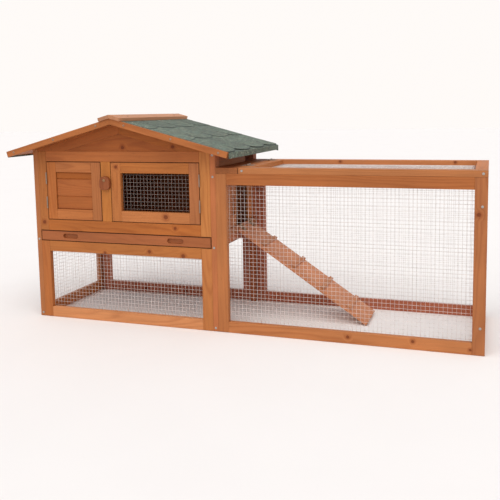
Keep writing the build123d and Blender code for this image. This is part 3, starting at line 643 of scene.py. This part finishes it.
def shingle_row(side, row, name):
    a_low = LOWS[row]
    a_up = LOWS[row + 1] - TAB_ROUND - 30.0 if row < 2 else 1.0
    rng = random.Random("%s %d" % (name, row))
    joints = [JOINTS[0] - TAB] + list(JOINTS) + [JOINTS[-1] + TAB]
    verts, faces, gp, lp, rn = [], [], [], [], []
    NA, ROUGH = 34, 3.4
    for k, (j0, j1) in enumerate(zip(joints[:-1], joints[1:])):
        g0 = 1.2 + rng.uniform(0.0, 1.0)
        g1 = 1.2 + rng.uniform(0.0, 1.0)
        lift = rng.uniform(0.0, 1.0)
        lift2 = rng.uniform(0.0, 1.0)
        shift = rng.uniform(-1.5, 1.5)
        tone = (rng.random(), rng.random(), rng.random())
        ya, yb = max(j0, Y_RF), min(j1, Y_RB)
        NY = max(6, int(round((yb - ya) / ROUGH)))
        base = len(verts)
        grid = {}
        half = (j1 - j0) / 2
        rr = (half * half + TAB_ROUND * TAB_ROUND) / (2 * TAB_ROUND)
        for iy in range(NY + 1):
            t = iy / NY
            y_mid = ya + t * (yb - ya)
            dy = y_mid - (j0 + j1) / 2
            # the round end, cut by hand and so not quite even
            edge = a_low - 0.80 * (rr - math.sqrt(max(0.0, rr * rr - dy * dy)))
            edge += 0.8 * noise.noise(Vector((y_mid * 0.09, row * 7.0 + side, 3.3))) + shift * (1 - abs(dy) / half)
            edge = min(edge, a_low)
            for ia in range(NA + 1):
                s = ia / NA
                s = 1 - (1 - s) ** 1.35
                a = a_up + (edge - a_up) * s
                gl = g0 if j0 > Y_RF else 0.0
                gr = g1 if j1 < Y_RB else 0.0
                open_ = 1.0 if a > a_low - 62.0 else 0.04
                y = ya + gl * open_ + t * ((yb - gr * open_) - (ya + gl * open_))
                wedge = 2.2 + 1.5 * max(0.0, min(1.0, (a - a_up) / (a_low - a_up)))
                wv = 0.45 * noise.noise(Vector((a * 0.02, y * 0.02, 5.0 + row))) + 0.22 * noise.noise(Vector((a * 0.09, y * 0.09, 8.0 + row)))
                near = max(0.0, 1 - (edge - a) / 40.0)
                corner = lift * max(0.0, -dy / half) ** 2 + lift2 * max(0.0, dy / half) ** 2
                wv += 0.9 * near * near * corner
                top = wedge + wv
                grid[iy, ia, 1] = len(verts)
                verts.append(on_roof(side, a, y, top))
                gp.append((a / 1000, y / 1000 + side * 3, (top + 40 * row) / 1000))
                d = min(edge - a, (y - ya) if (j0 > Y_RF and a > a_low - 62) else 99.0, (yb - y) if (j1 < Y_RB and a > a_low - 62) else 99.0)
                lp.append((max(0.0, d - 1.3) / 1000, 0.0, 0.0))
                rn.append(tone)
                under = 0.12 + 0.8 * near * near * corner
                grid[iy, ia, 0] = len(verts)
                verts.append(on_roof(side, a, y, under))
                gp.append((a / 1000, y / 1000 + side * 3, (40 * row - 3.0) / 1000))
                lp.append((0.0, 1.0, 0.0))
                rn.append(tone)
        for iy in range(NY):
            for ia in range(NA):
                for lay in (0, 1):
                    f = [grid[iy, ia, lay], grid[iy + 1, ia, lay], grid[iy + 1, ia + 1, lay], grid[iy, ia + 1, lay]]
                    faces.append(f if lay == 0 else f[::-1])
        rim = [(iy, 0) for iy in range(NY)] + [(NY, ia) for ia in range(NA)]
        rim += [(iy, NA) for iy in range(NY, 0, -1)] + [(0, ia) for ia in range(NA, 0, -1)]
        for (p, q) in zip(rim, rim[1:] + rim[:1]):
            faces.append([grid[p[0], p[1], 1], grid[q[0], q[1], 1], grid[q[0], q[1], 0], grid[p[0], p[1], 0]])
    me = bpy.data.meshes.new(name)
    me.from_pydata(verts, [], faces)
    write_vec(me, "gp", gp)
    write_vec(me, "lp", lp)
    write_vec(me, "hd", [(1.0, 1.0, 1.0)] * len(verts))
    write_vec(me, "rnd", rn)
    bm = bmesh.new()
    bm.from_mesh(me)
    bmesh.ops.recalc_face_normals(bm, faces=bm.faces[:])
    for e in bm.edges:
        e.smooth = len(e.link_faces) == 2 and e.calc_face_angle(0.0) < 0.7
    for f in bm.faces:
        f.smooth = True
    bm.to_mesh(me)
    bm.free()
    me.materials.append(M["mineral_felt"])
    ob = bpy.data.objects.new(name, me)
    scene.collection.objects.link(ob)
    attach(ob, "cage")
    return ob


for side, word in ((1, "right"), (-1, "left")):
    felt_underlay("roof_felt_" + word)
    for row in range(3):
        ob = shingle_row(side, row, "shingles_%s_row_%d" % (word, row + 1))
        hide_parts("roof_shingles_" + word)


# ---------------------------------------------------------------------------
# Hardware: hinges and screws keep their shape and get plated steel; the lid's
# hinges and the ramp's hinges also get their screws
# ---------------------------------------------------------------------------
FINISH = {"barge_screws": "stained_hardware", "cap_screws": "stained_hardware", "frame_screws": "zinc_hardware", "lid_screws": "zinc_hardware", "ramp_hinge_wall_side": "aged_hardware",
          "ramp_hinge_ramp_side": "aged_hardware", "turn_button_screw": "aged_hardware"}
for n in NODES:
    if SLOT[n] == "zinc_hardware":
        o = NODES[n]
        for s in o.material_slots:
            s.link = "OBJECT"
            s.material = M[FINISH.get(n, "dull_hardware")]


def screw(name, body, centre, normal, r=2.7, h=0.75, turn=0.3, finish="dull_hardware"):
    """Countersunk screw head: a low dome with a cross recess."""
    rings = [(0.0, h), (0.30, h * 0.98), (0.62, h * 0.85), (0.86, h * 0.55), (1.0, 0.12), (1.0, -0.25)]
    seg = 32
    verts, faces = [], []
    for (k, z) in rings[1:]:
        for j in range(seg):
            w = 2 * math.pi * j / seg
            x, y = k * r * math.cos(w), k * r * math.sin(w)
            zz = z
            cross = min(abs(x), abs(y))
            if k <= 0.62 and cross < 0.16 * r:
                zz = z - 0.55
            verts.append((x, y, zz))
    verts.append((0, 0, h - 0.6))
    c = len(verts) - 1
    for j in range(seg):
        faces.append((c, j, (j + 1) % seg))
    for i in range(len(rings) - 2):
        for j in range(seg):
            a, b = i * seg + j, i * seg + (j + 1) % seg
            faces.append((a, a + seg, b + seg, b))
    last = (len(rings) - 2) * seg
    faces.append([last + j for j in range(seg)])
    me = bpy.data.meshes.new(name)
    nrm = Vector(normal).normalized()
    q = nrm.to_track_quat("Z", "Y").to_matrix() @ Matrix.Rotation(turn, 3, "Z")
    me.from_pydata([P(*centre) + (q @ Vector(v)) / 1000.0 for v in verts], [], faces)
    bm = bmesh.new()
    bm.from_mesh(me)
    bmesh.ops.recalc_face_normals(bm, faces=bm.faces[:])
    bm.to_mesh(me)
    bm.free()
    for p in me.polygons:
        p.use_smooth = True
    me.materials.append(M[finish])
    ob = bpy.data.objects.new(name, me)
    scene.collection.objects.link(ob)
    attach(ob, body)
    return ob


rng = random.Random(11)
for i, yc in enumerate((105.0, 345.0)):
    for j, dy in enumerate((-11.5, 11.5)):
        screw("lid_hinge_screw_board_%d%d" % (i, j), "cage", (744.5, yc + dy, 535.7), (0, 0, 1), turn=rng.uniform(0, 1.5))
        screw("lid_hinge_screw_lid_%d%d" % (i, j), "lid", (769.0, yc + dy, 535.7), (0, 0, 1), turn=rng.uniform(0, 1.5))
RN = Vector((0.672, 0, 1.0)).normalized()
for i, yc in enumerate((216.0, 312.0)):
    for j, dy in enumerate((-8.0, 8.0)):
        along, upw = 11.5, 1.2
        rx = 688.7 + along / math.sqrt(1 + 0.672 ** 2) + upw * RN.x
        rz = (312.8376424963801 - 2.5 * math.sqrt(1 + 0.672 ** 2)) - along * 0.672 / math.sqrt(1 + 0.672 ** 2) + upw * RN.z
        screw("ramp_hinge_screw_%d%d" % (i, j), "ramp", (rx, yc + dy, rz), RN, r=2.3, h=0.7, turn=rng.uniform(0, 1.5),
              finish="aged_hardware")

# ---------------------------------------------------------------------------
# Floor, light and world
# ---------------------------------------------------------------------------
fm = Graph("floor_paper")
co = fm.coord()
nz = fm.noise(co, 3.0, 3.0)
fm.put(fm.bsdf.inputs["Base Color"], fm.mix(fm.range(nz, 0.3, 0.7), (0.862, 0.826, 0.796), (0.872, 0.836, 0.806)))
fm.bsdf.inputs["Roughness"].default_value = 0.9
fm.bsdf.inputs["Specular IOR Level"].default_value = 0.1
me = bpy.data.meshes.new("floor")
R = 24.0
me.from_pydata([(-R, -R, 0), (R, -R, 0), (R, R, 0), (-R, R, 0)], [], [(0, 1, 2, 3)])
me.materials.append(fm.mat)
floor = bpy.data.objects.new("floor", me)
floor.location.z = -0.0004
scene.collection.objects.link(floor)

world = bpy.data.worlds.new("studio")
scene.world = world
world.use_nodes = True
wt = world.node_tree
bg = wt.nodes["Background"]
bg.inputs[0].default_value = (1.0, 0.962, 0.935, 1.0)
tc = wt.nodes.new("ShaderNodeTexCoord")
sx = wt.nodes.new("ShaderNodeSeparateXYZ")
mr = wt.nodes.new("ShaderNodeMapRange")
mr.interpolation_type = "SMOOTHSTEP"
for k, v in enumerate((0.0, 0.20, 0.70, 1.0, 0.50)):
    if k:
        mr.inputs[k].default_value = v
wt.links.new(tc.outputs["Generated"], sx.inputs[0])
wt.links.new(sx.outputs[2], mr.inputs[0])
wt.links.new(mr.outputs[0], bg.inputs[1])
mc = wt.nodes.new("ShaderNodeMix")
mc.data_type = "RGBA"
fr = wt.nodes.new("ShaderNodeMapRange")
fr.inputs[1].default_value, fr.inputs[2].default_value = 0.22, 0.60
wt.links.new(sx.outputs[2], fr.inputs[0])
wt.links.new(fr.outputs[0], mc.inputs["Factor"])
ci = [k for k in mc.inputs if k.type == "RGBA"]
ci[0].default_value, ci[1].default_value = (1.0, 0.962, 0.935, 1.0), (0.92, 0.965, 1.05, 1.0)
wt.links.new([k for k in mc.outputs if k.type == "RGBA"][0], bg.inputs[0])

sun = bpy.data.lights.new("softbox", "SUN")
sun.energy, sun.angle, sun.color = 2.10, 1.1, (1.0, 0.985, 0.97)
so = bpy.data.objects.new("softbox", sun)
scene.collection.objects.link(so)
so.rotation_euler = Vector((-0.10, 0.66, -1.25)).to_track_quat("-Z", "Y").to_euler()

scene.view_settings.view_transform = "Standard"
scene.view_settings.look = "None"
scene.view_settings.exposure = 0.0
scene.view_settings.gamma = 1.0
